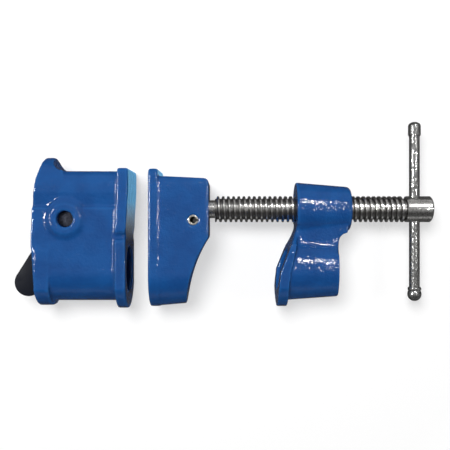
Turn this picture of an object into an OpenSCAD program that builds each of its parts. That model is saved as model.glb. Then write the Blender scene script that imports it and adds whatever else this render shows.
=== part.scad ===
// Pipe clamp fixture for woodworking, without its pipe: a screw head, a sliding front jaw
// and a tail stop that a cam lever locks, all three made for one length of 3/4 in pipe.
// The pipe runs along X with the handle towards +X, the throat opens towards +Y, and the
// clamp lies on the flat sides of its castings, which face -Z. The origin is on the
// pipe's axis, at the mouth of the threaded socket in the head. All sizes are millimetres.

/* [Pipe] */
// Outside diameter of the pipe that the castings slide on
pipe_od = 26.67; // [26.2:0.01:27.2]
// Radial room between the pipe and the ring of the front jaw
jaw_bore_room = 0.55; // [0.3:0.05:0.8]
// Radial room between the pipe and the bore of the tail casting
tail_bore_room = 0.37; // [0.3:0.01:0.8]
// Diameter inside the crests of the pipe thread in the head's socket
socket_d = 24.1; // [23.6:0.1:24.6]

/* [Layout] */
// Distance from the pipe's axis to the screw's axis
screw_rise = 36.2; // [35.4:0.1:38]
// Width of the castings across the pipe, from one resting side to the other
casting_w = 40.8; // [40:0.1:43]
// Distance from the mouth of the pipe socket to the face of the front jaw, at rest
jaw_reach = 76.7; // [74:0.1:84]
// Gap between the two jaw faces at rest
work_gap = 11.6; // [8:0.1:40]
// Diameter of the round feet that the three castings have under the pipe
foot_d = 46; // [44:0.1:48]

/* [Screw] */
// Major diameter of the screw
screw_d = 15.875; // [15:0.005:17]
// Distance from one thread to the next
screw_pitch = 3.175; // [2.8:0.005:3.6]
// Depth of the thread
thread_depth = 1.59; // [1.3:0.01:1.8]
// Length of the threaded part
thread_len = 116.2; // [100:0.1:130]
// Diameter of the plain nose that turns in the front jaw
nose_d = 11; // [10:0.1:11.6]
// Length of the nose inside the front jaw
nose_len = 16.8; // [15:0.1:20]
// Length of the nose that shows between the jaw and the thread
nose_show = 3.5; // [2:0.1:8]
// Diameter left in the nose at its retaining groove
groove_d = 6.8; // [6:0.1:8]
// Length of the plain hub at the handle end
hub_len = 16.2; // [14:0.1:22]
// Distance from the end of the thread to the hole for the handle bar
bar_hole_in = 6; // [5:0.1:8]
// Radial room of every fit that turns or slides
run_room = 0.08; // [0.03:0.01:0.1]

/* [Handle bar] */
// Diameter of the bar
bar_d = 6.35; // [6:0.01:7]
// Overall length of the bar with both of its ends
bar_len = 109.5; // [95:0.1:130]
// How far the bar's middle lies below the screw's axis at rest
bar_drop = 1.5; // [0:0.1:20]
// Diameter of the tapered end
upper_end_d = 7.6; // [7.4:0.1:9]
// Length of the tapered end
upper_end_len = 8.4; // [8:0.1:12]
// Diameter of the round end
lower_end_d = 8.5; // [8:0.1:10]
// Length of the round end
lower_end_len = 8.5; // [8:0.1:12]
// Depth of the socket that holds the bar in each end
end_socket = 5; // [4:0.1:6]

/* [Front jaw] */
// Length of the jaw along the screw, from its face to its back
jaw_depth = 35.6; // [34:0.1:40]
// Length of the pipe ring along its underside
jaw_foot_depth = 22; // [18:0.1:23]
// Length of the pipe ring at the height of the pipe's axis
jaw_axis_depth = 26.2; // [24:0.1:28]
// Height above the pipe's axis at which the back starts to slope in
jaw_back_bottom = 19.2; // [18:0.1:22]
// Height of the lip above the pipe's axis
jaw_lip_top = 59.9; // [58.5:0.1:63]
// Thickness of the lip
jaw_lip_t = 5.7; // [5:0.1:8]
// Height of the jaw behind its lip
jaw_top = 55.5; // [54.5:0.1:57]
// Height of the jaw at its back
jaw_top_back = 54.2; // [53:0.1:55]
// Diameter of the pipe ring at the back end of its underside
jaw_ring_end_d = 42.2; // [40:0.1:44]
// How far the sides of the block lie inside those of the face plate
jaw_side_set = 0.8; // [0.2:0.1:1.5]
// Diameter of the slotted spring pin that keeps the screw in the jaw
jaw_pin_d = 6.2; // [5.8:0.1:6.6]
// Wall of the slotted spring pin
jaw_pin_wall = 1.2; // [0.9:0.1:1.5]
// Distance from the back of the jaw to the middle of the pin
jaw_pin_in = 9.1; // [8:0.1:10]
// Room between the pin and the groove it runs in
jaw_pin_room = 0.3; // [0.2:0.05:0.5]

/* [Head casting] */
// Length of the pipe boss
pipe_boss_len = 37.4; // [35:0.1:40]
// Draft of the boss's far end, in degrees to each side of the parting line
cast_draft = 4.5; // [1:0.5:6]
// Diameter of the pipe boss at the mouth of its socket
pipe_boss_d = 39.4; // [37:0.1:40]
// Diameter of the pipe boss at its far end
pipe_boss_end_d = 34.2; // [33:0.1:36]
// Thickness of the foot flange round the mouth of the socket
head_flange_t = 6; // [5:0.1:8]
// Distance from the mouth of the socket to the near face of the nut boss
nut_boss_x = 11.5; // [10:0.1:12]
// Length of the nut boss
nut_boss_len = 33.3; // [31:0.1:38]
// Diameter of the nut boss at its near face
nut_boss_d = 32.6; // [30:0.1:34]
// Diameter of the nut boss at its far end
nut_boss_end_d = 27.4; // [25:0.1:29]
// Thickness of the web between the two bosses
head_web_t = 21; // [18:0.5:24]

/* [Tail casting] */
// Length of the tail casting along the pipe
tail_len = 57.4; // [56.5:0.1:61]
// Thickness of the face plate
tail_plate_t = 6.4; // [5.5:0.1:8]
// How far the pad at the top of the face stands proud of the rest
tail_pad_proud = 1.5; // [1:0.1:3]
// Height of the pad's top edge above the pipe's axis
tail_lip_top = 60.1; // [59:0.1:63]
// Height of the housing behind the face plate
tail_top = 58.8; // [57:0.1:59.5]
// Radius of the long crowned edges of the housing's top beam
beam_crown = 9; // [5:0.5:12]
// Height of the thumb horn
horn_top = 67.6; // [64:0.1:69]
// Width of the thumb horn
horn_w = 36.6; // [30:0.2:38]
// Thickness of the horn along the pipe, near its top
horn_t = 6.5; // [5:0.1:8]
// Diameter of the barrel round the pipe
barrel_d = 36.8; // [35.5:0.1:39]
// Width of the housing between the two sides that carry the bosses
housing_w = 36.6; // [35.5:0.1:38]
// Height above the pipe's axis of the groove under the housing's top beam
groove_y = 37; // [36:0.1:38.5]
// Depth of that groove
groove_in = 1.6; // [0.8:0.1:2.2]
// Height over which the beam's side draws in to the groove
groove_h = 9; // [6:0.1:12]
// Height of the waist between the lower and the upper half of the face plate
waist_y = 19.8; // [18:0.1:21]
// Height of that waist
waist_h = 2.6; // [1:0.1:4]
// Thickness of the foot at the rear
rear_foot_t = 9; // [6:0.1:10]
// How far the tail's round underside lies below the bore's own circle
tail_drop = 1; // [0:0.1:1.2]
// Width of the slot that the cam lever swings in
slot_w = 22; // [21.6:0.1:23]
// Height of the slot's ceiling above the pipe's axis
slot_top = 41.5; // [41:0.1:43]
// Distance from the jaw face to the front wall of the slot
slot_in = 17.2; // [16:0.1:20]
// Diameter of the coned bosses at the cam's pivot, at their feet
pivot_boss_d = 24.4; // [22:0.1:25]
// Diameter of their flat tops
pivot_boss_top_d = 17.6; // [15:0.1:19]

/* [Cam lever] */
// Distance from the jaw face to the pivot
pivot_in = 37; // [36.4:0.1:38]
// Height of the pivot above the pipe's axis
pivot_rise = 30; // [29.6:0.1:30.6]
// Thickness of the lever
lever_t = 12; // [10:0.1:12.4]
// Diameter of the lever's hub
lever_hub_d = 19; // [18:0.1:20]
// Distance from the pivot to the middle of the lever's round end
lever_len = 45.9; // [44:0.1:50]
// Diameter of the lever's round end
lever_end_d = 16.9; // [15:0.1:17]
// Direction in which the lever hangs at rest, in degrees from +X
lever_dir = -123.6; // [-124.5:0.1:-122]
// Angle through which the lever is lifted where its cam just bites the pipe
bite_angle = 50; // [45:1:54]
// Slope of the cam against its own circle, which is what locks it on the pipe
cam_slope = 0.34; // [0.28:0.01:0.4]
// Number of teeth on the cam
cam_teeth = 9; // [6:1:11]
// Depth of the cam's teeth
cam_tooth_h = 0.9; // [0.5:0.1:1.2]
// Diameter of the pin that the lever turns on
cam_pin_d = 9.4; // [9:0.1:9.8]
// Depth at which each end of that pin lies inside its hole
cam_pin_recess = 4.8; // [3:0.1:6]

/* [Cam spring] */
// Diameter of the spring's wire
wire_d = 1.3; // [1:0.05:1.35]
// Distance from one turn of the spring to the next
wire_pitch = 1.75; // [1.75:0.01:1.8]
// Mean diameter of the coil
coil_d = 13.2; // [12.6:0.1:14]
// Length of the leg that hooks over the lever
hook_leg = 13; // [12.8:0.1:14]
// Length of the hook itself
hook_len = 6; // [4:0.1:8]
// Room between the spring and what lies beside it
spring_room = 0.2; // [0.15:0.01:0.25]

/* [Hidden] */
$fn = 96;

half_w = casting_w / 2;
foot_r = foot_d / 2;
below = foot_r + 1;           // a depth that clears every foot
over = 1;                     // how far a cut runs past the face it opens
paint_blue = [0.13, 0.30, 0.60];
plated_steel = [0.76, 0.77, 0.79];
black_oxide = [0.09, 0.09, 0.10];

jaw_x = -jaw_reach;
jaw_back = jaw_x + jaw_depth;
jaw_half = half_w - jaw_side_set;
jaw_bore_r = pipe_od / 2 + jaw_bore_room;
tail_x = jaw_x - work_gap;
tail_bore_r = pipe_od / 2 + tail_bore_room;

nose_r = nose_d / 2;
screw_r = screw_d / 2;
root_r = screw_r - thread_depth;
screw_x = jaw_back - nose_len;
thread_x = nose_len + nose_show;       // from the tip of the nose
hub_x = thread_x + thread_len;
screw_len = hub_x + hub_len;
flank = thread_depth * tan(14.5);      // an acme flank
crest = (screw_pitch - 2 * flank) / 2;
rings = floor(thread_len / screw_pitch);
bar_x = screw_x + hub_x + bar_hole_in;
bar_r = bar_d / 2;
bar_low = screw_rise - bar_drop - bar_len / 2;
bar_high = bar_low + bar_len;

jaw_pin_r = jaw_pin_d / 2;
jaw_pin_x = jaw_back - jaw_pin_in;
jaw_pin_y = screw_rise - groove_d / 2 - jaw_pin_r - jaw_pin_room;
groove_half = jaw_pin_r + jaw_pin_room;
nose_gap = 0.15;                       // end play of the nose in its bore

pivot_x = tail_x - pivot_in;
cam_pin_r = cam_pin_d / 2;
cam_pin_len = casting_w - 2 * cam_pin_recess;
coil_r = coil_d / 2;
wire_r = wire_d / 2;
hook_turn = 129.9;                     // where the hooked leg leaves the coil, degrees
wall_turn = -880;                      // where the other leg leaves it, turns later
spring_top = slot_w / 2 - spring_room - wire_r;
spring_bottom = spring_top - wire_pitch * (hook_turn - wall_turn) / 360;
lever_top = spring_bottom - wire_r - spring_room;

// Points along an arc about c, in degrees
function arc(c, r, from, to, steps = 6) =
    [for (i = [0:steps]) let (a = from + (to - from) * i / steps) c + r * [cos(a), sin(a)]];
function polar(r, a) = r * [cos(a), sin(a)];
// Points of the circular sweep from p to q by way of m
function sweep(p, m, q, steps = 8) = let (
    d = 2 * (p[0] * (m[1] - q[1]) + m[0] * (q[1] - p[1]) + q[0] * (p[1] - m[1])),
    c = [(p * p) * (m[1] - q[1]) + (m * m) * (q[1] - p[1]) + (q * q) * (p[1] - m[1]),
        (p * p) * (q[0] - m[0]) + (m * m) * (p[0] - q[0]) + (q * q) * (m[0] - p[0])] / d,
    from = atan2(p[1] - c[1], p[0] - c[0]), to = atan2(q[1] - c[1], q[0] - c[0]),
    turn = (to - from + 540) % 360 - 180)
    arc(c, norm(p - c), from, from + turn, steps);

// Places a shape that stands along Z so that it lies along X from x, at height y
module along_x(x, y = 0) translate([x, y, 0]) rotate([0, 90, 0]) children();
// Extrudes a cross-section drawn as (Y, Z) from x to x + len
module section(x, len) translate([x, 0, 0]) rotate([90, 0, 90]) linear_extrude(len) children();
// Extrudes a side view drawn as (X, Y) across the full width
module side_view(points, w) linear_extrude(w, center = true) polygon(points);

// Rounded rectangle from y0 to y1
module plate(y0, y1, half, r) {
    translate([y0 + r, -half]) square([y1 - y0 - 2 * r, 2 * half]);
    translate([y0, r - half]) square([y1 - y0, 2 * (half - r)]);
    for (y = [y0 + r, y1 - r], side = [-1, 1]) translate([y, side * (half - r)]) circle(r = r);
}

// A cast boss that tapers from r1 to r2 and has a rounded far edge
module boss(len, r1, r2, edge) {
    rotate_extrude()
        polygon(concat([[0, 0], [r1, 0]], arc([r2 - edge, len - edge], edge, 0, 90), [[0, len]]));
}

// ---- head ----
slope_top = 24.6;                       // height at which the head's front stops sloping
knee = [1.2, -1];                      // where the slope meets the flange
flange_top = -12;
head_far = nut_boss_x + nut_boss_len;
head_face = [[nut_boss_x, slope_top], knee, [0, flange_top], [0, -below]];
head_side = concat([[head_far + over, -below], [head_far + over, screw_rise + nut_boss_d],
    [nut_boss_x, screw_rise + nut_boss_d]], head_face);
// The flange follows the sloping face and runs out where the nut boss begins
head_rim = concat([[head_flange_t, -below], [head_flange_t, flange_top],
    [knee[0] + head_flange_t, knee[1]], [nut_boss_x + 1.8, slope_top]], head_face);
web_end = pipe_boss_len - 0.4;          // the web stops just short of the parting line
web_fillet = 5;                        // between the web's end and the nut boss
head_web = concat([[head_flange_t, 0], [web_end - 1, 0]],
    arc([web_end + web_fillet, screw_rise - nut_boss_end_d / 2 - web_fillet - 0.8], web_fillet, 180, 90),
    [[head_far - 2, screw_rise - 8], [head_far - 6, screw_rise], [nut_boss_x, screw_rise],
        [nut_boss_x, slope_top], knee]);
// Seen along Y, the boss's end draws in from the parting line to both sides
boss_drafted = [[0, -half_w], [pipe_boss_len - half_w * tan(cast_draft), -half_w],
    [pipe_boss_len, 0], [pipe_boss_len - half_w * tan(cast_draft), half_w], [0, half_w]];

module head_casting() {
    color(paint_blue) difference() {
        intersection() {
            side_view(head_side, casting_w);
            union() {
                intersection() {
                    side_view(head_rim, casting_w);
                    along_x(0) cylinder(h = nut_boss_x + 2, r = foot_r);
                }
                intersection() {
                    along_x(0) boss(pipe_boss_len, pipe_boss_d / 2, pipe_boss_end_d / 2, 0.8);
                    rotate([90, 0, 0])
                        linear_extrude(2 * below, center = true) polygon(boss_drafted);
                }
                along_x(nut_boss_x, screw_rise)
                    boss(nut_boss_len, nut_boss_d / 2, nut_boss_end_d / 2, 2.5);
                side_view(head_web, head_web_t);
            }
        }
        along_x(-over) cylinder(h = pipe_boss_len + 2 * over, d = socket_d);
        along_x(nut_boss_x - over, screw_rise)
            cylinder(h = nut_boss_len + 2 * over, r = screw_r + run_room);
    }
}

// ---- front jaw ----
lip_fillet = 3;
jaw_sweep = sweep([jaw_foot_depth, -jaw_ring_end_d / 2], [jaw_axis_depth, 0],
    [jaw_depth, jaw_back_bottom]);
jaw_side = concat([[0, -below], [jaw_foot_depth, -below]], jaw_sweep,
    arc([jaw_depth - 3, jaw_top_back - 3], 3, 0, 90),
    arc([jaw_lip_t + lip_fillet, jaw_top + lip_fillet], lip_fillet, 270, 180),
    arc([jaw_lip_t - 1.2, jaw_lip_top - 1.2], 1.2, 0, 90),
    arc([1.2, jaw_lip_top - 1.2], 1.2, 90, 180));
// The underside is a round tangent to both sides, which rises towards the back
jaw_round_y = jaw_half - foot_r;
jaw_rise = atan((foot_r - jaw_ring_end_d / 2) / jaw_foot_depth);

module front_jaw() {
    color(paint_blue) difference() {
        translate([jaw_x, 0, 0]) intersection() {
            side_view(jaw_side, casting_w);
            union() {
                section(0, jaw_lip_t) union() {
                    plate(half_w - foot_r - 5, jaw_lip_top, half_w, 5);
                    translate([half_w - foot_r, 0]) circle(r = half_w);
                }
                section(0, jaw_depth) plate(jaw_round_y, jaw_top, jaw_half, 5);
                translate([0, jaw_round_y, 0]) rotate([0, 0, jaw_rise])
                    along_x(-2 * over) cylinder(h = jaw_depth + 2 * jaw_half, r = jaw_half);
            }
        }
        along_x(jaw_x - over) cylinder(h = jaw_depth + 2 * over, r = jaw_bore_r);
        along_x(screw_x - nose_gap, screw_rise)
            cylinder(h = nose_len + nose_gap + over, r = nose_r + run_room);
        translate([jaw_pin_x, jaw_pin_y, 0]) cylinder(h = casting_w + over, r = jaw_pin_r, center = true);
    }
}

module jaw_pin() {
    pin_len = 2 * (jaw_half - 0.4);
    color(plated_steel) translate([jaw_pin_x, jaw_pin_y, 0]) difference() {
        cylinder(h = pin_len, r = jaw_pin_r, center = true);
        cylinder(h = pin_len + over, r = jaw_pin_r - jaw_pin_wall, center = true);
        translate([jaw_pin_r, 0, 0]) cube([2 * jaw_pin_r, 0.9, pin_len + over], center = true);
    }
}

// ---- screw and handle ----
screw_outline = concat(
    [[0, 0], [nose_r - 0.8, 0], [nose_r, 0.8],
        [nose_r, nose_len - jaw_pin_in - groove_half],
        [groove_d / 2, nose_len - jaw_pin_in - groove_half],
        [groove_d / 2, nose_len - jaw_pin_in + groove_half],
        [nose_r, nose_len - jaw_pin_in + groove_half], [nose_r, thread_x]],
    [for (i = [0:rings - 1]) let (z = thread_x + i * screw_pitch)
        each [[root_r, z], [screw_r, z + flank], [screw_r, z + flank + crest],
            [root_r, z + 2 * flank + crest]]],
    [[root_r, hub_x], [screw_r, hub_x], [screw_r, screw_len - 1], [screw_r - 1, screw_len],
        [0, screw_len]]);

module screw() {
    color(plated_steel) difference() {
        along_x(screw_x, screw_rise) rotate_extrude() polygon(screw_outline);
        translate([bar_x, screw_rise, 0]) rotate([90, 0, 0])
            cylinder(h = screw_d + over, r = bar_r + run_room, center = true);
    }
}

module handle_bar() {
    color(plated_steel) translate([bar_x, bar_low + lower_end_len - end_socket, 0])
        rotate([-90, 0, 0])
            cylinder(h = bar_len - lower_end_len - upper_end_len + 2 * end_socket, r = bar_r);
}

// The tapered end, drawn as (radius, distance from its tip)
module bar_end_upper() {
    r = upper_end_d / 2;
    color(plated_steel) translate([bar_x, bar_high, 0]) rotate([90, 0, 0]) difference() {
        rotate_extrude() polygon(concat(
            [[0, 0], [r * 0.45, 0]], arc([r - 2.4, 2.6], 2.4, -60, 0),
            [[r, upper_end_len - 0.4], [r - 0.4, upper_end_len], [0, upper_end_len]]));
        translate([0, 0, upper_end_len - end_socket]) cylinder(h = end_socket + over, r = bar_r);
    }
}

// The round end with its collar, drawn the same way
module bar_end_lower() {
    r = lower_end_d / 2;
    color(plated_steel) translate([bar_x, bar_low, 0]) rotate([-90, 0, 0]) difference() {
        rotate_extrude() polygon(concat(
            [[0, 0]], arc([0, r], r, -80, 20),
            [[r - 0.5, lower_end_len - 2], [r - 0.2, lower_end_len - 1.6],
                [r - 0.2, lower_end_len - 0.3], [r - 0.5, lower_end_len], [0, lower_end_len]]));
        translate([0, 0, lower_end_len - end_socket]) cylinder(h = end_socket + over, r = bar_r);
    }
}

// ---- tail ----
// The tail is drawn from its jaw face backwards, so its x runs towards -X
module tail_frame() translate([tail_x, 0, 0]) mirror([1, 0, 0]) children();

pad_edge = 47;                         // heights between which the pad slopes back
plate_edge = 21;
tail_plate = [[0, tail_lip_top], [0, pad_edge], [tail_pad_proud, plate_edge],
    [tail_pad_proud, -below], [tail_pad_proud + tail_plate_t, -below],
    [tail_pad_proud + tail_plate_t, plate_edge], [tail_plate_t, pad_edge],
    [tail_plate_t, tail_lip_top]];
rear_foot_end = tail_len - 1.6;
horn_front = tail_len - 4.7 - horn_t;
horn_fillet = 7.5;                     // where the horn rises from the beam
relief_len = 6;                        // notch in the rear foot for the hanging lever
relief_y = -15.4;
rim_w = 1.2;                           // rounding at the mouths of the pin's hole
tail_side = concat(
    [[3, -below], [rear_foot_end, -below], [rear_foot_end, -11.5], [tail_len - 0.8, 5],
        [tail_len, 14], [tail_len, 21], [tail_len - 0.7, 37], [tail_len - 1.2, 44],
        [tail_len - 2.5, 53], [tail_len - 3.7, 57.8], [tail_len - 4.7, horn_top - 4.8]],
    arc([tail_len - 7.4, horn_top - 2.4], 2.4, 30, 90, 3),
    arc([horn_front + 1.2, horn_top - 1.2], 1.2, 90, 180, 3),
    arc([horn_front - horn_fillet, tail_top + horn_fillet], horn_fillet, 0, -90, 8),
    [[3, tail_top]]);

// The two bosses of the pivot, drawn as (radius, Z)
pivot_boss = [[0, -half_w], [pivot_boss_top_d / 2, -half_w], [pivot_boss_d / 2, -housing_w / 2],
    [pivot_boss_d / 2, housing_w / 2], [pivot_boss_top_d / 2, half_w], [0, half_w]];

// The housing's cross-section, with a crowned beam on top
module housing() {
    plate(-4, tail_top - beam_crown, housing_w / 2, 4);
    plate(tail_top - 2 * beam_crown - 4, tail_top, housing_w / 2, beam_crown);
}

// The side of the top beam draws in towards a groove and steps out again under it
module beam_grooves() {
    for (side = [-1, 1]) polygon([[groove_y, side * (housing_w / 2 - groove_in)],
        [groove_y, side * (housing_w / 2 + over)],
        [groove_y + groove_h * (1 + over / groove_in), side * (housing_w / 2 + over)]]);
}

module tail_casting() {
    color(paint_blue) tail_frame() difference() {
        union() {
            intersection() {
                side_view(tail_plate, casting_w);
                section(0, tail_pad_proud + tail_plate_t) union() {
                    translate([-tail_drop, 0]) circle(r = foot_r);
                    plate(-5, waist_y - waist_h / 2, half_w, 2.5);
                    plate(waist_y + waist_h / 2, tail_lip_top, half_w, 2.5);
                    plate(0, tail_top - 3, housing_w / 2 - 0.2, 4);
                }
            }
            intersection() {
                side_view(tail_side, casting_w);
                union() {
                    along_x(0, -tail_drop) cylinder(h = tail_len, d = barrel_d);
                    section(rear_foot_end - rear_foot_t, rear_foot_t) intersection() {
                        circle(r = foot_r - 0.7);
                        square([foot_d, housing_w + 1], center = true);
                    }
                    difference() {
                        section(0, tail_len) housing();
                        section(tail_plate_t, tail_len) beam_grooves();
                    }
                    section(horn_front - horn_fillet, tail_len)
                        translate([horn_top - horn_w / 2, 0]) intersection() {
                            circle(d = horn_w);
                            translate([0, -horn_w / 2]) square(horn_w);
                        }
                }
            }
            translate([pivot_in, pivot_rise, 0]) rotate_extrude() polygon(pivot_boss);
        }
        along_x(-over) cylinder(h = tail_len + 2 * over, r = tail_bore_r);
        translate([slot_in, 0, -slot_w / 2]) cube([tail_len, slot_top, slot_w]);
        translate([rear_foot_end - relief_len, relief_y, -slot_w / 2])
            cube([tail_len, slot_top - relief_y, slot_w]);
        translate([pivot_in, pivot_rise, 0])
            cylinder(h = casting_w + over, r = cam_pin_r, center = true);
        for (side = [0, 1]) translate([pivot_in, pivot_rise, 0]) mirror([0, 0, side])
            translate([0, 0, half_w - rim_w])
                cylinder(h = rim_w + over, r1 = cam_pin_r, r2 = cam_pin_r + rim_w);
    }
}

module cam_pin() {
    color(plated_steel) translate([pivot_x, pivot_rise, 0])
        cylinder(h = cam_pin_len, r = cam_pin_r, center = true);
}

// ---- cam lever, drawn about its pivot ----
lever_tip = polar(lever_len, lever_dir);
tangent = acos((lever_hub_d - lever_end_d) / 2 / lever_len);
arm_set = 0.03;                        // how far the arm's sides lie inside the two rounds
lever_arm = [polar(lever_hub_d / 2 - arm_set, lever_dir + tangent),
    lever_tip + polar(lever_end_d / 2 - arm_set, lever_dir + tangent),
    lever_tip + polar(lever_end_d / 2 - arm_set, lever_dir - tangent),
    polar(lever_hub_d / 2 - arm_set, lever_dir - tangent)];
// The cam is a spiral whose slope stays the same, so it meets the pipe at one angle wherever
// it bites. That point lies cam_lead ahead of the foot of the pivot.
cam_lead = atan(cam_slope);
cam_bite_r = (pivot_rise - pipe_od / 2) / (exp(cam_slope * cam_lead * PI / 180) * cos(cam_lead));
function cam_radius(lift) = cam_bite_r * exp(cam_slope * (bite_angle - lift) * PI / 180);
cam_first = bite_angle - cam_lead + 12;
cam_step = 30 / (2 * cam_teeth);
cam_nose = concat([polar(lever_hub_d / 2 - 0.5, cam_first - 62)],
    [for (i = [0:2 * cam_teeth]) let (lift = cam_first - i * cam_step)
        polar(cam_radius(lift) - (i % 2) * cam_tooth_h, lift - 90)],
    [polar(lever_hub_d / 2 + 0.6, -90), polar(lever_hub_d / 2 - 0.5, -125), [0, 0]]);

module cam_lever() {
    color(black_oxide) translate([pivot_x, pivot_rise, lever_top - lever_t]) difference() {
        union() {
            cylinder(h = lever_t, d = lever_hub_d);
            translate(lever_tip) cylinder(h = lever_t, d = lever_end_d);
            linear_extrude(lever_t) polygon(lever_arm);
            linear_extrude(lever_t) polygon(cam_nose);
        }
        translate([0, 0, -over]) cylinder(h = lever_t + 2 * over, r = cam_pin_r + run_room);
    }
}

// ---- cam spring: one wire swept along stations of [place, axis, axis] ----
ring_sides = 8;
turn_steps = 45;
wall_leg = (slot_top - pivot_rise - coil_r * sin(wall_turn) - 0.3) / -cos(wall_turn);
function radial(a) = [cos(a), sin(a), 0];
function clockwise(a) = [sin(a), -cos(a), 0];
hook_out = -clockwise(hook_turn);
hook_corner = coil_r * radial(hook_turn) + [0, 0, spring_bottom] + hook_leg * hook_out;
coil = [for (i = [0:turn_steps]) let (t = i / turn_steps, a = hook_turn + (wall_turn - hook_turn) * t)
    [coil_r * radial(a) + [0, 0, spring_bottom + (spring_top - spring_bottom) * t],
        radial(a), [0, 0, 1]]];
wire = concat(
    [[hook_corner - [0, 0, hook_len], radial(hook_turn), hook_out],
        [hook_corner, radial(hook_turn), hook_out + [0, 0, 1]]],
    coil,
    [[coil[turn_steps][0] + wall_leg * clockwise(wall_turn), radial(wall_turn), [0, 0, 1]]]);
wire_points = [for (s = wire, k = [0:ring_sides - 1]) let (a = 360 * k / ring_sides)
    s[0] + wire_r * (cos(a) * s[1] + sin(a) * s[2])];
last_ring = (len(wire) - 1) * ring_sides;
wire_faces = concat(
    [for (i = [0:len(wire) - 2], k = [0:ring_sides - 1]) let (
        a = i * ring_sides + k, b = i * ring_sides + (k + 1) % ring_sides)
        each [[a, b, a + ring_sides], [b, b + ring_sides, a + ring_sides]]],
    [[for (k = [ring_sides - 1:-1:0]) k], [for (k = [0:ring_sides - 1]) last_ring + k]]);
half_turn_steps = floor(turn_steps * 180 / (hook_turn - wall_turn));
least_gap = min([for (i = [0:turn_steps - half_turn_steps - 1],
    j = [i + half_turn_steps:turn_steps]) norm(coil[i][0] - coil[j][0])]) - wire_d;
echo(str("least gap between turns of the cam spring: ", least_gap, " mm"));

module cam_spring() {
    color(plated_steel) translate([pivot_x, pivot_rise, 0])
        polyhedron(points = wire_points, faces = wire_faces, convexity = 6);
}

head_casting();
front_jaw();
jaw_pin();
screw();
handle_bar();
bar_end_upper();
bar_end_lower();
tail_casting();
cam_pin();
cam_spring();
cam_lever();
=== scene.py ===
"""Looks of a woodworking pipe clamp fixture: three enamelled castings, a plated screw with its
sliding handle bar, and a black cam lever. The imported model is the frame; sizes are metres."""
import math

import bmesh
import bpy
from mathutils import Matrix, Vector


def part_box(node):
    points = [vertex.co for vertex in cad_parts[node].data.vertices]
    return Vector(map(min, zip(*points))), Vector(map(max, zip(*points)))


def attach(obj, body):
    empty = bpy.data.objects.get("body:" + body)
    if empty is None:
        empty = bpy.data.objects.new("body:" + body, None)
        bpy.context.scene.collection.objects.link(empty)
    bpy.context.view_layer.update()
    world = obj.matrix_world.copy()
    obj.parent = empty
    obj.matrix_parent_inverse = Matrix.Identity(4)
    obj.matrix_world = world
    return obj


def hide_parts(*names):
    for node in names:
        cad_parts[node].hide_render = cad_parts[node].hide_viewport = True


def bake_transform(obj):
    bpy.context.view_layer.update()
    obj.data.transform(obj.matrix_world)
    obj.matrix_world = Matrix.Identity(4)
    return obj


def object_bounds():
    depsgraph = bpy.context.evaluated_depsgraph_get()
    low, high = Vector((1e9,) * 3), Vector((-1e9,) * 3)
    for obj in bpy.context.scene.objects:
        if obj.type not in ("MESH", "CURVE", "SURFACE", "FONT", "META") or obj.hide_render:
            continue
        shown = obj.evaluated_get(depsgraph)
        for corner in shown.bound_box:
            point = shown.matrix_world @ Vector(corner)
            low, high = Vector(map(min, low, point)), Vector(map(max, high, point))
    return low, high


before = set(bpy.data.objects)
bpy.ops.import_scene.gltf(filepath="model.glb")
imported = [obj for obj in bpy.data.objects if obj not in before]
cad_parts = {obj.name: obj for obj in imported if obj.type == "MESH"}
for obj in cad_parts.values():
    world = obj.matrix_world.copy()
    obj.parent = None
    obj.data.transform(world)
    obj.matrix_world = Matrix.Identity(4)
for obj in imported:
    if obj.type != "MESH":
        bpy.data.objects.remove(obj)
cad_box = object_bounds()

MM = 0.001
LATHE_STEPS = 96
BAR_STEPS = 64

# The view of the photograph: straight down on the clamp lying on its side
CAMERA_PLACE = Vector((-31.5, 26.5, 420.0)) * MM
FRAME_WIDTH = 275.9 * MM      # what the picture spans at the height of the screw's axis
SENSOR = 36.0

# Light
MIDDLE = (-0.03, 0.02, 0.0)   # what the lamps point at
TABLE_GLOW = 0.57             # how much of the table's white needs no light, near the middle
TABLE_VEIL = 0.42             # and how much more it takes from the lamps, where they reach
# Within this reach beside a casting the table's glow is dimmed: a painted shadow
NOOK = 18 * MM                # how far a casting darkens the table beside it
THROAT = (-0.085, 0.056, 0.0)           # open end of the gap between the tail and the jaw
# Colour of the painted reflection that the table glows at the throat, for mirrored rays only
THROAT_SHEEN_BLUE = (0.22, 0.62, 1.0, 1.0)
MIRRORED_TABLE = 0.07         # how bright the table shows in enamel and steel
MIRRORED_ROOM = 0.30          # and the room above it

# Screw, as in the source of the part
PITCH = 3.175 * MM
THREAD_DEPTH = 1.59 * MM
NOSE_RADIUS = 5.5 * MM
THREAD_START = 20.3 * MM      # from the tip of the nose
THREAD_LENGTH = 116.2 * MM
BAR_RADIUS = 3.175 * MM
GROOVE_MIDDLE = 7.7 * MM      # retaining groove, from the tip of the nose
GROOVE_HALF = 3.4 * MM
GROOVE_RADIUS = 3.4 * MM
SCREW_RISE = 36.2 * MM        # height of its axis above the pipe's


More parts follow.
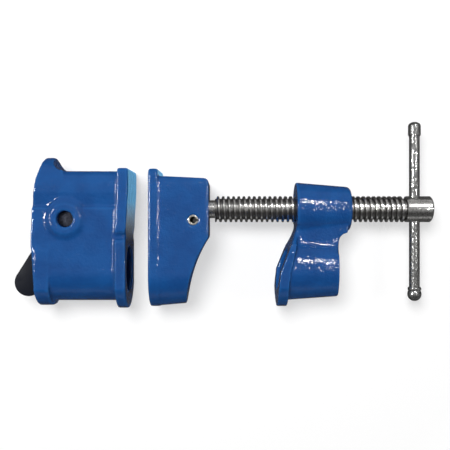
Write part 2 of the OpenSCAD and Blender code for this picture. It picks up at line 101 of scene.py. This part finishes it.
# ---------------------------------------------------------------- materials
class Finish:
    """A material with short calls for the nodes it is built from."""

    def __init__(self, name):
        self.material = bpy.data.materials.new(name)
        self.material.use_nodes = True
        self.tree = self.material.node_tree
        self.surface = self.tree.nodes["Principled BSDF"]
        self.place = self.add("ShaderNodeTexCoord").outputs["Object"]

    def add(self, kind, **settings):
        node = self.tree.nodes.new(kind)
        for key, value in settings.items():
            setattr(node, key, value)
        return node

    def feed(self, socket, value):
        """Links a socket to another, or sets it to a plain value."""
        if isinstance(value, bpy.types.NodeSocket):
            self.tree.links.new(value, socket)
        else:
            socket.default_value = value

    def set(self, **values):
        """Feeds the shader's own sockets."""
        for key, value in values.items():
            self.feed(self.surface.inputs[key.replace("_", " ")], value)

    def noise(self, size, detail=2.0, roughness=0.5, place=None):
        """Noise whose features are about as wide as size."""
        node = self.add("ShaderNodeTexNoise")
        self.feed(node.inputs["Vector"], place or self.place)
        self.feed(node.inputs["Scale"], 1.0 / size)
        self.feed(node.inputs["Detail"], detail)
        self.feed(node.inputs["Roughness"], roughness)
        return node.outputs["Fac"]

    def stretched(self, scale):
        """Object coordinates scaled per axis, for marks that run one way."""
        node = self.add("ShaderNodeMapping")
        self.feed(node.inputs["Vector"], self.place)
        self.feed(node.inputs["Scale"], scale)
        return node.outputs["Vector"]

    def span(self, value, low, high, to_low, to_high):
        """The value's range from low to high spread over another range, and cut off there."""
        node = self.add("ShaderNodeMapRange")
        for name, item in (("Value", value), ("From Min", low), ("From Max", high),
                           ("To Min", to_low), ("To Max", to_high)):
            self.feed(node.inputs[name], item)
        return node.outputs["Result"]

    def scaled(self, value, factor, plus):
        """value * factor + plus."""
        node = self.add("ShaderNodeMath", operation="MULTIPLY_ADD")
        for socket, item in zip(node.inputs, (value, factor, plus)):
            self.feed(socket, item)
        return node.outputs[0]

    def distance(self, middle, keep):
        """How far a point lies from the middle, along the axes where keep is 1."""
        away = self.add("ShaderNodeVectorMath", operation="SUBTRACT")
        self.feed(away.inputs[0], self.place)
        self.feed(away.inputs[1], middle)
        kept = self.add("ShaderNodeVectorMath", operation="MULTIPLY")
        self.feed(kept.inputs[0], away.outputs[0])
        self.feed(kept.inputs[1], keep)
        length = self.add("ShaderNodeVectorMath", operation="LENGTH")
        self.feed(length.inputs[0], kept.outputs[0])
        return length.outputs["Value"]

    def blend(self, amount, first, second):
        """A colour between two."""
        node = self.add("ShaderNodeMix", data_type="RGBA")
        self.feed(node.inputs["Factor"], amount)
        colours = [socket for socket in node.inputs if socket.type == "RGBA"]
        self.feed(colours[0], first)
        self.feed(colours[1], second)
        return [socket for socket in node.outputs if socket.type == "RGBA"][0]

    def relief(self, height, depth, under=None, strength=1.0):
        """A bump of the given depth, laid over another one."""
        node = self.add("ShaderNodeBump")
        self.feed(node.inputs["Height"], height)
        self.feed(node.inputs["Distance"], depth)
        self.feed(node.inputs["Strength"], strength)
        if under:
            self.feed(node.inputs["Normal"], under)
        return node.outputs["Normal"]


def blue_enamel():
    """Thick glossy enamel over sand-cast iron, deeper and plainer in random patches, and paler on
    convex edges: partly thinner enamel there, partly a painted edge sheen.
    """
    f = Finish("blue_enamel")
    edge = f.span(f.add("ShaderNodeNewGeometry").outputs["Pointiness"], 0.50, 0.58, 0.0, 1.0)
    deep = (0.006, 0.054, 0.205, 1.0)
    plain = (0.007, 0.070, 0.250, 1.0)
    thin_edge_sheen = (0.012, 0.110, 0.340, 1.0)
    patchy = f.span(f.noise(14 * MM, 3.0), 0.35, 0.65, 0.0, 1.0)
    colour = f.blend(patchy, deep, plain)
    # Convex edges are painted paler: a painted edge sheen, with thinner enamel there as well
    colour = f.blend(edge, colour, thin_edge_sheen)
    sand = f.relief(f.noise(1.7 * MM, 2.0, 0.5), 0.25 * MM)
    waves = f.relief(f.noise(6 * MM, 1.0), 0.22 * MM, under=sand)
    f.set(Base_Color=colour, Roughness=f.span(f.noise(5 * MM), 0.3, 0.7, 0.04, 0.08),
          Normal=waves)
    return f.material


def plated_steel(name, colour, roughness, along=(1.0, 1.0, 1.0), tarnish=0.25, wear=0.2,
                 clean=0.46, pits=0.03, gaps=None):
    """Plated steel with fine lathe marks, small pits and specks of tarnish, which wear makes
    rougher, and more of which show as clean falls. With gaps, given as the axis' Y and two radii,
    it turns darker and rougher from the second radius in to the first: the darkening is painted
    shade in the thread roots."""
    f = Finish(name)
    marks = f.stretched(along)
    fine = f.noise(0.25 * MM, 2.0, place=marks)
    coarse = f.noise(0.9 * MM, 3.0, 0.6, place=marks)
    spots = f.span(f.noise(0.7 * MM, 4.0, 0.6, place=marks), clean, clean + 0.10, 0.0,
                   tarnish)
    dull = tuple(c / 4 for c in colour[:3]) + (1.0,)
    pitted = f.relief(coarse, pits * MM)
    shade = f.blend(spots, colour, dull)
    gloss = f.scaled(spots, wear, f.span(fine, 0.3, 0.7, roughness * 0.8, roughness * 1.35))
    if gaps:
        axis_y, inner, outer = gaps
        radius = f.distance((0.0, axis_y, 0.0), (0.0, 1.0, 1.0))
        both = f.add("ShaderNodeMath", operation="MINIMUM")
        f.feed(both.inputs[0], f.span(radius, inner, outer, 1.0, 0.0))
        f.feed(both.inputs[1], f.span(radius, inner - 0.8 * MM, inner - 0.6 * MM, 0.0, 1.0))
        root_shade = both.outputs[0]
        # Painted shade: the thread roots are darkened
        shade = f.blend(root_shade, shade, (0.23, 0.225, 0.22, 1.0))
        gloss = f.scaled(root_shade, 0.16, gloss)
    f.set(Base_Color=shade, Metallic=1.0, Roughness=gloss,
          Normal=f.relief(fine, 0.012 * MM, under=pitted, strength=0.6))
    return f.material


def black_finish():
    """Matte black coat on the stamped lever, rubbed a little on its edges."""
    f = Finish("black_finish")
    edge = f.span(f.add("ShaderNodeNewGeometry").outputs["Pointiness"], 0.53, 0.60, 0.0, 0.5)
    colour = f.blend(edge, (0.005, 0.0065, 0.012, 1.0), (0.03, 0.032, 0.04, 1.0))
    grain = f.relief(f.noise(0.6 * MM, 3.0), 0.05 * MM, strength=0.5)
    f.set(Base_Color=colour, Roughness=f.span(f.noise(4 * MM), 0.3, 0.7, 0.42, 0.60), Normal=grain,
          IOR=1.22)
    return f.material


def oiled_steel():
    """Plain dark steel of the pins and the spring."""
    f = Finish("pin_steel")
    stain = f.span(f.noise(1.5 * MM, 4.0), 0.35, 0.7, 0.0, 1.0)
    f.set(Base_Color=f.blend(stain, (0.060, 0.065, 0.085, 1.0), (0.020, 0.022, 0.030, 1.0)),
          Metallic=0.9, Roughness=f.span(stain, 0.0, 1.0, 0.35, 0.55),
          Normal=f.relief(f.noise(0.4 * MM), 0.03 * MM, strength=0.5))
    return f.material


ENAMEL = blue_enamel()
SCREW_STEEL = plated_steel("screw_steel", (0.92, 0.91, 0.89, 1.0), 0.12, along=(1.0, 0.5, 0.5),
                           tarnish=0.6, pits=0.10, gaps=(SCREW_RISE, 6.5 * MM, 7.7 * MM))
BAR_STEEL = plated_steel("bar_steel", (0.52, 0.52, 0.51, 1.0), 0.16, along=(1.0, 0.45, 1.0),
                         tarnish=1.0, wear=0.45, clean=0.42, pits=0.08)
PIN_RIM = plated_steel("spring_pin_steel", (0.70, 0.68, 0.62, 1.0), 0.25)
PIN_STEEL = oiled_steel()
BLACK = black_finish()


# ---------------------------------------------------------------- shaping
def placed(name, data):
    """A new object in the scene. A bmesh is made a mesh and freed."""
    if isinstance(data, bmesh.types.BMesh):
        bm, data = data, bpy.data.meshes.new(name)
        bm.to_mesh(data)
        bm.free()
    thing = bpy.data.objects.new(name, data)
    bpy.context.scene.collection.objects.link(thing)
    return thing


def into_piece(bm, name, material, body, node):
    """Makes the bmesh a piece of that name."""
    return finish_piece(placed(name, bm), material, body, node)


def finish_piece(piece, material, body, node, sharp=40):
    """The piece stands for a CAD node and, unless body is None, moves with that body."""
    piece.data.materials.clear()
    piece.data.materials.append(material)
    for face in piece.data.polygons:
        face.use_smooth = True
    piece.data.set_sharp_from_angle(angle=math.radians(sharp))
    if body:
        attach(piece, body)
    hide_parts(node)
    return piece


def copy_of(node):
    """A merged copy of a CAD node's mesh."""
    bm = bmesh.new()
    bm.from_mesh(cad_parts[node].data)
    bmesh.ops.remove_doubles(bm, verts=bm.verts, dist=0.001 * MM)
    return bm


def turned(profile, steps=LATHE_STEPS):
    """A closed solid turned about X from (along, radius) points that start and end at the axis."""
    bm = bmesh.new()
    verts = [bm.verts.new((x, 0.0, r)) for x, r in profile]
    edges = [bm.edges.new(pair) for pair in zip(verts, verts[1:])]
    bmesh.ops.spin(bm, geom=verts + edges, cent=(0, 0, 0), axis=(1, 0, 0),
                   angle=2 * math.pi, steps=steps, use_merge=True)
    bmesh.ops.remove_doubles(bm, verts=bm.verts, dist=0.001 * MM)
    bmesh.ops.recalc_face_normals(bm, faces=bm.faces)
    return bm


def bored(bm, middle, radius, half):
    """The closed solid with a round hole along Y through the given middle."""
    rod = turned([(-half, 0), (-half, radius), (half, radius), (half, 0)], BAR_STEPS)
    solid, bore = placed("bored_solid", bm), placed("bore", rod)
    bore.data.transform(Matrix.Translation(middle) @ Matrix.Rotation(math.radians(90), 4, "Z"))
    cut = solid.modifiers.new("cut", "BOOLEAN")
    cut.operation = "DIFFERENCE"
    cut.solver = "EXACT"
    cut.object = bore
    applied(solid)
    whole = bmesh.new()
    whole.from_mesh(solid.data)
    for thing in (solid, bore):
        bpy.data.objects.remove(thing)
    return whole


def joined(*parts):
    """One bmesh from several."""
    whole = bmesh.new()
    for part in parts:
        mesh = bpy.data.meshes.new("joining")
        part.to_mesh(mesh)
        part.free()
        whole.from_mesh(mesh)
        bpy.data.meshes.remove(mesh)
    return whole


def applied(piece):
    """The piece's mesh with its modifiers applied."""
    shaped = piece.evaluated_get(bpy.context.evaluated_depsgraph_get())
    mesh = bpy.data.meshes.new_from_object(shaped)
    piece.modifiers.clear()
    piece.data = mesh
    return piece


# ---------------------------------------------------------------- castings
def casting(node, body, voxel, rounds, blends=()):
    """A sand casting: the CAD solid with every edge and inner corner softened. Each blend is a
    box (low corner, high corner) in mm, inside which corners are softened that many times more."""
    piece = placed(node + "_skin", copy_of(node))
    remesh = piece.modifiers.new("sand_mould", "REMESH")
    remesh.mode = "VOXEL"
    remesh.voxel_size = voxel
    soften = piece.modifiers.new("soften", "SMOOTH")
    soften.factor = 0.5
    soften.iterations = rounds
    applied(piece)
    for i, (low, high, times) in enumerate(blends):
        group = piece.vertex_groups.new(name="blend_%d" % i)
        inside = [v.index for v in piece.data.vertices
                  if all(a < c / MM < b for a, c, b in zip(low, v.co, high))]
        group.add(inside, 1.0, "REPLACE")
        widen = piece.modifiers.new(group.name, "SMOOTH")
        widen.vertex_group = group.name
        widen.iterations = times
    return finish_piece(applied(piece), ENAMEL, body, node, sharp=180)


casting("head_casting", "head", 0.60 * MM, 7,
        blends=[((4, 9, 6), (38, 27, 17), 60), ((4, 9, -17), (38, 27, -6), 60)])
casting("front_jaw", "jaw", 0.62 * MM, 8,
        blends=[((-73.5, -18, 17), (-66, 53, 22), 20), ((-73.5, -18, -22), (-66, 53, -17), 20)])
casting("tail_casting", "tail", 0.70 * MM, 6)


# ---------------------------------------------------------------- screw
def thread_sleeve(start, end, outer):
    """A right-hand acme thread: one long profile that advances a pitch as it is spun once round."""
    root = outer - THREAD_DEPTH
    flank = THREAD_DEPTH * math.tan(math.radians(14.5))
    flat = (PITCH - 2 * flank) / 2
    ease = 0.12 * THREAD_DEPTH
    tooth = ((0.0, root), (flank * 0.9, outer - ease), (flank + ease / 2, outer),
             (flank + flat - ease / 2, outer), (flank * 1.1 + flat, outer - ease),
             (2 * flank + flat, root))
    count = int((end - start) / PITCH) + 3
    bm = bmesh.new()
    verts = [bm.verts.new((start + (i - 1.5) * PITCH + x, 0.0, r))
             for i in range(count) for x, r in tooth]
    edges = [bm.edges.new(pair) for pair in zip(verts, verts[1:])]
    steps = 64
    bmesh.ops.spin(bm, geom=verts + edges, cent=(0, 0, 0), axis=(1, 0, 0),
                   dvec=(PITCH / steps, 0, 0), angle=2 * math.pi, steps=steps)
    bmesh.ops.remove_doubles(bm, verts=bm.verts, dist=PITCH / 500)
    for place, way in ((start, -1), (end, 1)):
        geom = bm.verts[:] + bm.edges[:] + bm.faces[:]
        bmesh.ops.bisect_plane(bm, geom=geom, plane_co=(place, 0, 0), plane_no=(way, 0, 0),
                               clear_outer=True)
    bmesh.ops.holes_fill(bm, edges=[e for e in bm.edges if e.is_boundary], sides=0)
    bmesh.ops.recalc_face_normals(bm, faces=bm.faces)
    return bm


def screw():
    """Nose with its groove, thread and bored hub, measured from the tip of the nose."""
    low, high = (Vector(c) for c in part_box("screw"))
    axis_y = (low.y + high.y) / 2
    outer = (high.y - low.y) / 2
    length = high.x - low.x
    hub = THREAD_START + THREAD_LENGTH
    root = outer - THREAD_DEPTH
    lap = 0.5 * MM
    nose = turned([(0, 0), (0, NOSE_RADIUS - 0.8 * MM), (0.8 * MM, NOSE_RADIUS),
                   (GROOVE_MIDDLE - GROOVE_HALF, NOSE_RADIUS),
                   (GROOVE_MIDDLE - GROOVE_HALF, GROOVE_RADIUS),
                   (GROOVE_MIDDLE + GROOVE_HALF, GROOVE_RADIUS),
                   (GROOVE_MIDDLE + GROOVE_HALF, NOSE_RADIUS),
                   (THREAD_START + lap, NOSE_RADIUS), (THREAD_START + lap, 0)])
    thread = thread_sleeve(THREAD_START, hub - 1.2 * MM, outer)
    head = turned([(hub - 1.6 * MM, 0), (hub - 1.6 * MM, root), (hub - 0.2 * MM, root),
                   (hub + 0.3 * MM, outer - 0.2 * MM), (hub + 0.8 * MM, outer),
                   (length - 1.1 * MM, outer), (length - 0.3 * MM, outer - 0.8 * MM),
                   (length, outer - 1.3 * MM), (length, 0)])
    bar_low, bar_high = (Vector(c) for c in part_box("handle_bar"))
    head = bored(head, Vector(((bar_low.x + bar_high.x) / 2 - low.x, 0, 0)),
                 BAR_RADIUS + 0.25 * MM, 12 * MM)
    bm = joined(nose, thread, head)
    bmesh.ops.translate(bm, verts=bm.verts, vec=(low.x, axis_y, 0))
    into_piece(bm, "threaded_screw", SCREW_STEEL, "spindle", "screw")


screw()


# ---------------------------------------------------------------- handle
STAND = Matrix.Rotation(math.radians(90), 4, "Z")      # turns X to +Y


def handle_end(name, profile, tip, upwards):
    """An end of the bar, turned from a profile that starts at its tip."""
    bm = turned(profile)
    turn = STAND if upwards else Matrix.Rotation(math.radians(-90), 4, "Z")
    bmesh.ops.transform(bm, matrix=Matrix.Translation(tip) @ turn, verts=bm.verts)
    into_piece(bm, name + "_cap", BAR_STEEL, "handle", name)


def arc_points(centre, radius, start, stop, steps=8):
    """Points (along, radius) on an arc; angles in degrees from the outward radius."""
    angles = (math.radians(start + (stop - start) * i / steps) for i in range(steps + 1))
    return [(centre[0] + radius * math.sin(a), centre[1] + radius * math.cos(a)) for a in angles]


def handle():
    """The bar and its two ends, which stand along Y."""
    low, high = (Vector(c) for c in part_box("handle_bar"))
    x = (low.x + high.x) / 2
    bm = turned([(0, 0), (0, BAR_RADIUS), (high.y - low.y, BAR_RADIUS), (high.y - low.y, 0)],
                BAR_STEPS)
    bmesh.ops.transform(bm, matrix=Matrix.Translation((x, low.y, 0)) @ STAND, verts=bm.verts)
    into_piece(bm, "bar_rod", BAR_STEEL, "handle", "handle_bar")

    low, high = (Vector(c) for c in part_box("bar_end_upper"))
    r = (high.x - low.x) / 2
    length = high.y - low.y
    tapered = [(0, 0), (0, r * 0.42)] + arc_points((2.6 * MM, r - 2.4 * MM), 2.4 * MM, -60, 0)
    tapered += [(length - 0.5 * MM, r), (length, r - 0.45 * MM), (length, 0)]
    handle_end("bar_end_upper", tapered, Vector((x, high.y, 0)), False)

    low, high = (Vector(c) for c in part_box("bar_end_lower"))
    r = (high.x - low.x) / 2
    length = high.y - low.y
    rounded = [(0, 0)] + arc_points((r, 0), r, -80, 22)
    rounded += [(length - 2.0 * MM, r - 0.55 * MM), (length - 1.5 * MM, r - 0.2 * MM),
                (length - 0.5 * MM, r - 0.2 * MM), (length, r - 0.5 * MM), (length, 0)]
    handle_end("bar_end_lower", rounded, Vector((x, low.y, 0)), True)


handle()


# ---------------------------------------------------------------- pins, lever and spring
def eased_copy(node, name, width, material, body):
    """The CAD node with every edge rounded that turns by more than 30 degrees."""
    bm = copy_of(node)
    bmesh.ops.dissolve_limit(bm, angle_limit=math.radians(2), verts=bm.verts, edges=bm.edges)
    limit = math.radians(30)
    edges = [e for e in bm.edges if e.is_manifold and e.calc_face_angle(0.0) > limit]
    bmesh.ops.bevel(bm, geom=edges, offset=width, offset_type="OFFSET", segments=3,
                    profile=0.5, affect="EDGES", clamp_overlap=True, material=-1)
    into_piece(bm, name, material, body, node)


eased_copy("jaw_pin", "slotted_pin", 0.25 * MM, PIN_RIM, "jaw")
eased_copy("cam_pin", "pivot_pin", 0.6 * MM, PIN_STEEL, "tail")
eased_copy("cam_lever", "lever_plate", 0.5 * MM, BLACK, "lever")


def spring():
    """The torsion spring as one piece copied from its CAD node; it moves with no body."""
    piece = into_piece(copy_of("cam_spring"), "torsion_spring", PIN_STEEL, None, "cam_spring")
    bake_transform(piece)


spring()


# ---------------------------------------------------------------- stage
def table_top():
    """A white table: plain paper to the light, and to the eye a glowing white that shows the lamps'
    soft shadows and a painted shadow close under the castings; it glows more with distance so that
    it runs into the background."""
    f = Finish("table_white")
    f.set(Base_Color=(0.90, 0.90, 0.90, 1.0), Roughness=0.8)
    # Close under the castings, where no light gets in, the glow dies away too: a painted shadow
    near = f.add("ShaderNodeAmbientOcclusion", samples=12)
    f.feed(near.inputs["Distance"], NOOK)
    glow = f.add("ShaderNodeEmission")
    full = f.span(f.distance(MIDDLE, (1.0, 1.0, 0.0)), 0.18, 0.60, TABLE_GLOW, 1.0)
    f.feed(glow.inputs["Strength"], f.span(near.outputs["AO"], 0.0, 0.42, 0.02, full))
    veil = f.add("ShaderNodeBsdfDiffuse")
    veil.inputs["Color"].default_value = (TABLE_VEIL, TABLE_VEIL, TABLE_VEIL, 1.0)
    lit = f.add("ShaderNodeAddShader")
    f.feed(lit.inputs[0], glow.outputs[0])
    f.feed(lit.inputs[1], veil.outputs[0])
    # What is mirrored is dimmed close under the castings, a painted shade, and at the open end of
    # the throat it glows brighter and blue: a painted reflection, standing for light off the
    # throat's two blue faces
    throat_sheen = f.span(f.distance(THROAT, (1.0, 1.0, 0.0)), 0.015, 0.040, 1.0, 0.0)
    mirrored = f.add("ShaderNodeEmission")
    f.feed(mirrored.inputs["Color"],
           f.blend(throat_sheen, (1.0, 1.0, 1.0, 1.0), THROAT_SHEEN_BLUE))
    f.feed(mirrored.inputs["Strength"],
           f.span(near.outputs["AO"], 0.0, f.scaled(throat_sheen, -0.5, 0.8), 0.0,
                  f.scaled(throat_sheen, 0.9, MIRRORED_TABLE)))
    path = f.add("ShaderNodeLightPath")
    either = f.add("ShaderNodeMath", operation="MAXIMUM")
    f.feed(either.inputs[0], path.outputs["Is Glossy Ray"])
    f.feed(either.inputs[1], path.outputs["Is Transmission Ray"])
    unseen = f.add("ShaderNodeMixShader")
    f.feed(unseen.inputs[0], either.outputs[0])
    f.feed(unseen.inputs[1], f.surface.outputs[0])
    f.feed(unseen.inputs[2], mirrored.outputs[0])
    choice = f.add("ShaderNodeMixShader")
    f.feed(choice.inputs[0], path.outputs["Is Camera Ray"])
    f.feed(choice.inputs[1], unseen.outputs[0])
    f.feed(choice.inputs[2], lit.outputs[0])
    f.feed(f.tree.nodes["Material Output"].inputs["Surface"], choice.outputs[0])
    bm = bmesh.new()
    bmesh.ops.create_grid(bm, x_segments=1, y_segments=1, size=3.0)
    bmesh.ops.translate(bm, verts=bm.verts, vec=(0, 0, cad_box[0][2]))
    table = placed("table", bm)
    table.data.materials.append(f.material)


def lamp(name, place, size, power, mirrored):
    """A mirrored lamp only makes highlights, and any other only lights and throws shadows."""
    light = bpy.data.lights.new(name, "AREA")
    light.shape = "RECTANGLE"
    light.size, light.size_y = size
    light.energy = power
    thing = placed(name, light)
    thing.location = place
    thing.rotation_euler = (Vector(MIDDLE) - Vector(place)).to_track_quat("-Z", "Y").to_euler()
    thing.visible_glossy = mirrored
    thing.visible_diffuse = not mirrored


def room():
    """White walls under a darker ceiling. The camera sees only white, and what is mirrored is the
    darker the further it lies towards -Y."""
    world = bpy.data.worlds.new("room")
    world.use_nodes = True
    tree = world.node_tree
    back = tree.nodes["Background"]
    way = tree.nodes.new("ShaderNodeTexCoord")
    split = tree.nodes.new("ShaderNodeSeparateXYZ")
    tree.links.new(way.outputs["Generated"], split.inputs[0])
    path = tree.nodes.new("ShaderNodeLightPath")

    def ramp(axis, low, high, to_low, to_high):
        node = tree.nodes.new("ShaderNodeMapRange")
        tree.links.new(split.outputs[axis], node.inputs["Value"])
        for name, value in (("From Min", low), ("From Max", high), ("To Min", to_low),
                            ("To Max", to_high)):
            node.inputs[name].default_value = value
        return node.outputs["Result"]

    def maths(operation, first, second):
        node = tree.nodes.new("ShaderNodeMath")
        node.operation = operation
        tree.links.new(first, node.inputs[0])
        tree.links.new(second, node.inputs[1])
        return node.outputs[0]

    mirroring = maths("MAXIMUM", path.outputs["Is Glossy Ray"], path.outputs["Is Transmission Ray"])
    mirrored = maths("MULTIPLY", mirroring,
                     ramp("Y", -0.60, -0.05, 0.06 * MIRRORED_ROOM, MIRRORED_ROOM))
    strength = maths("MAXIMUM", ramp("Z", 0.10, 0.45, 0.35, 0.06), mirrored)
    tree.links.new(maths("MAXIMUM", strength, path.outputs["Is Camera Ray"]),
                   back.inputs["Strength"])
    back.inputs["Color"].default_value = (1.0, 1.0, 1.0, 1.0)
    bpy.context.scene.world = world


def studio():
    """Three small lamps for the highlights, two large ones for light and soft shadows."""
    lamp("key", (0.20, 0.56, 0.84), (0.10, 0.06), 4.8, mirrored=True)
    lamp("left_strip", (-0.74, 0.12, 0.68), (0.07, 0.34), 6.6, mirrored=True)
    lamp("right_spot", (0.46, 0.10, 0.90), (0.06, 0.06), 1.8, mirrored=True)
    lamp("right_wall", (0.62, 0.02, 0.62), (0.30, 0.30), 1.2, mirrored=False)
    lamp("sky", (-0.23, 0.31, 0.95), (0.40, 0.40), 11.3, mirrored=False)
    room()
    bpy.context.scene.view_settings.view_transform = "Standard"


def camera():
    """The photograph's view."""
    data = bpy.data.cameras.new("camera")
    data.sensor_width = SENSOR
    data.lens = SENSOR * CAMERA_PLACE.z / FRAME_WIDTH
    data.clip_start = 0.01
    thing = placed("camera", data)
    thing.location = CAMERA_PLACE
    bpy.context.scene.camera = thing


table_top()
studio()
camera()
